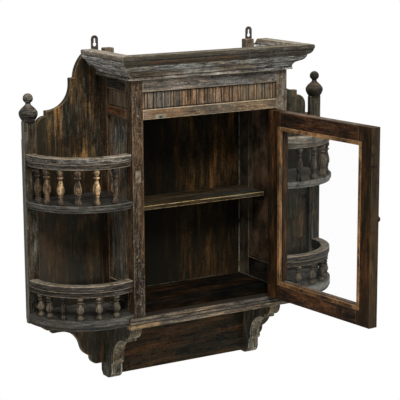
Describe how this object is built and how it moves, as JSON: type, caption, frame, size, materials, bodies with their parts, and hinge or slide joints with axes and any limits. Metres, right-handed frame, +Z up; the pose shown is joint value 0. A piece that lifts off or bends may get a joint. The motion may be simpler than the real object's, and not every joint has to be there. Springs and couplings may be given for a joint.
{
  "type": "wall display cabinet",
  "caption": "Wall-hung wooden display cabinet with a glazed hinged door, scrolled wings with bowed spindle galleries, a moulded cornice and brackets.",
  "frame": {"origin": "on the wall plane, midway between the round holes of the two hanging plates", "axes": "+X to the right seen from the front, +Y into the wall, +Z up; the door is modelled standing open"},
  "size_m": [0.8368, 0.5355, 0.818],
  "materials": {
    "case_wood": "dark stained wood, weathered, with worn edges",
    "inside_wood": "dark stained wood, matt",
    "moulding_wood": "dark stained wood, weathered, with worn edges",
    "turned_wood": "dark stained wood, weathered, with worn edges",
    "door_wood": "dark stained wood, satin",
    "bead_wood": "stained wood, satin",
    "knob_wood": "dark turned wood",
    "glass": "clear",
    "hinge_metal": "aged",
    "hanger_metal": "dark, matt"
  },
  "bodies": {
    "cabinet": {"apron_board": "case_wood", "back_panel": "inside_wood", "base_board": "moulding_wood", "bracket_left": "case_wood", "bracket_right": "case_wood", "case_hinge_leaves": "hinge_metal", "cornice_front": "moulding_wood", "cornice_left": "moulding_wood", "cornice_right": "moulding_wood", "finial_left": "turned_wood", "finial_right": "turned_wood", "floor_board": "inside_wood", "frieze_panel": "case_wood", "front_post_left": "case_wood", "front_post_right": "case_wood", "hanger_plates": "hanger_metal", "head_lower_rail": "case_wood", "head_top_rail": "case_wood", "hinge_pins": "hinge_metal", "interior_shelf": "inside_wood", "lower_gallery_rail_left": "moulding_wood", "lower_gallery_rail_right": "moulding_wood", "lower_gallery_shelf_left": "moulding_wood", "lower_gallery_shelf_right": "moulding_wood", "lower_gallery_spindles_left": "turned_wood", "lower_gallery_spindles_right": "turned_wood", "rear_post_left": "case_wood", "rear_post_right": "case_wood", "shelf_cleats": "inside_wood", "side_foot_rail_left": "case_wood", "side_foot_rail_right": "case_wood", "side_frieze_left": "case_wood", "side_frieze_right": "case_wood", "side_lower_rail_left": "case_wood", "side_lower_rail_right": "case_wood", "side_panel_left": "case_wood", "side_panel_right": "case_wood", "side_upper_rail_left": "case_wood", "side_upper_rail_right": "case_wood", "top_board": "case_wood", "upper_gallery_rail_left": "moulding_wood", "upper_gallery_rail_right": "moulding_wood", "upper_gallery_shelf_left": "moulding_wood", "upper_gallery_shelf_right": "moulding_wood", "upper_gallery_spindles_left": "turned_wood", "upper_gallery_spindles_right": "turned_wood", "wing_board_left": "case_wood", "wing_board_right": "case_wood", "wing_stile_left": "case_wood", "wing_stile_right": "case_wood"},
    "door": {"door_hinge_stile": "door_wood", "door_free_stile": "door_wood", "door_top_rail": "door_wood", "door_bottom_rail": "door_wood", "door_glass": "glass", "glazing_beads": "bead_wood", "door_knob": "knob_wood", "door_hinge_leaves": "hinge_metal"}
  },
  "joints": [
    {"name": "door_hinge", "type": "hinge", "parent": "cabinet", "child": "door", "pos_m": [0.18075, -0.1745, -0.3875], "axis": [0, 0, 1], "range_deg": [-95, 75]}
  ]
}
